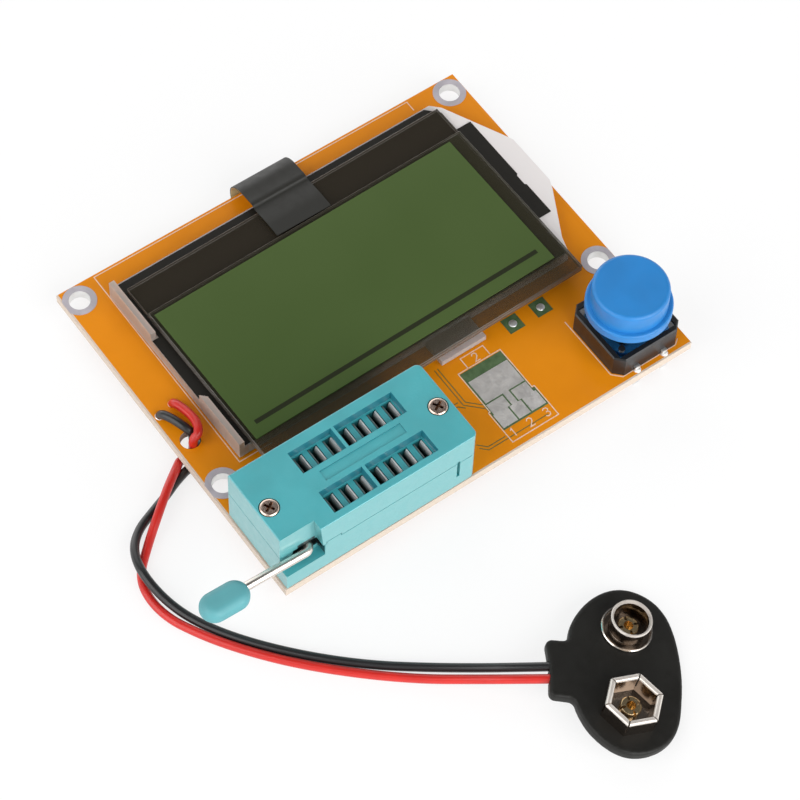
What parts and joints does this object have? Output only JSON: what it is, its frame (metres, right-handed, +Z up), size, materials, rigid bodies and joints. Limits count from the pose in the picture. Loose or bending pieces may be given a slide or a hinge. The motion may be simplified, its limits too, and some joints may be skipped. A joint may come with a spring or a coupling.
{
  "type": "component tester",
  "caption": "Bench component tester on an open circuit board: display on a light guide, lever test socket, push button and a battery snap at the end of two free wires.",
  "frame": {"origin": "under the middle of the board, lever and display cable, on the surface that the tester stands on; the free wires and the battery snap are not counted", "axes": "+X along the board's long side, +Y from the socket's side to the display cable's side, +Z up"},
  "size_m": [0.0887, 0.11, 0.0159],
  "materials": {
    "board": "orange solder mask, gloss",
    "plating": "tinned copper",
    "bare_pads": "tinned copper",
    "light_guide": "milky acrylic",
    "diode": "gloss",
    "white_film": "matt",
    "tape_white": "matt",
    "tape_black": "satin",
    "polariser_rear": "gloss",
    "display_glass": "polished",
    "polariser": "gloss",
    "silicon": "polished",
    "cable": "satin",
    "solder": "satin",
    "socket": "moulded, satin",
    "contacts": "tinned spring metal",
    "lever": "drawn wire, plated",
    "knob": "soft vinyl",
    "screws": "nickel plated",
    "switch_black": "moulded",
    "switch_plate": "bright stamped steel",
    "terminals": "tinned",
    "dome": "spring steel",
    "cap": "moulded, satin",
    "chip_black": "moulded",
    "crystal_can": "satin",
    "resistor": "glazed",
    "ceramic": "ceramic",
    "tantalum": "moulded",
    "wire_black": "soft vinyl",
    "wire_red": "soft vinyl",
    "snap_vinyl": "grained soft vinyl",
    "carrier": "moulded",
    "nickel": "nickel plated"
  },
  "bodies": {
    "root": {"circuit_board": "board", "mounting_hole_rings": "plating", "bare_solder_pads": "bare_pads", "test_pad_1": "plating", "test_pad_2": "plating", "test_pad_3": "plating", "light_guide": "light_guide", "backlight_diodes": "diode", "diffuser_film": "white_film", "reflector_film": "white_film", "mounting_tape": "tape_white", "shading_tape": "tape_black", "rear_polariser": "polariser_rear", "rear_glass": "display_glass", "front_glass": "display_glass", "front_polariser": "polariser", "driver_chip": "silicon", "chip_cover_film": "cable", "display_cable": "cable", "cable_solder_row": "solder", "zif_base": "socket", "zif_cover": "socket", "zif_contacts": "contacts", "zif_screws": "screws", "switch_body": "switch_black", "switch_plate": "switch_plate", "switch_terminals": "terminals", "snap_dome": "dome", "tail_solder": "solder", "terminal_solder": "solder", "lead_solder": "solder", "microcontroller": "chip_black", "crystal": "crystal_can", "voltage_regulator": "chip_black", "voltage_reference": "chip_black", "transistors": "chip_black", "chip_resistors": "resistor", "chip_capacitors": "ceramic", "tantalum_capacitors": "tantalum", "black_lead_held": "wire_black", "red_lead_held": "wire_red", "black_lead_free": "wire_black", "red_lead_free": "wire_red", "snap_cover": "snap_vinyl", "snap_carrier": "carrier", "snap_stud": "nickel", "snap_socket": "nickel", "snap_rivets": "nickel"},
    "lever": {"zif_lever": "lever", "lever_knob": "knob"},
    "slider": {"zif_slider": "socket"},
    "button": {"button_cap": "cap", "switch_plunger": "switch_black"}
  },
  "joints": [
    {"name": "lever_swing", "type": "hinge", "parent": "root", "child": "lever", "pos_m": [-0.02435, -0.02865, 0.0093], "axis": [0, 1, 0], "range_deg": [0, 84]},
    {"name": "slider_slide", "type": "slide", "parent": "root", "child": "slider", "axis": [-1, 0, 0], "range_m": [0, 0.0008]},
    {"name": "button_press", "type": "slide", "parent": "root", "child": "button", "axis": [0, 0, -1], "range_m": [0, 0.0003], "stiffness_N_per_m": 1500, "deforming": ["snap_dome"]}
  ],
  "couplings": [
    {"joint": "lever_swing", "follows": "slider_slide", "rad_per_m": 1832.6}
  ]
}
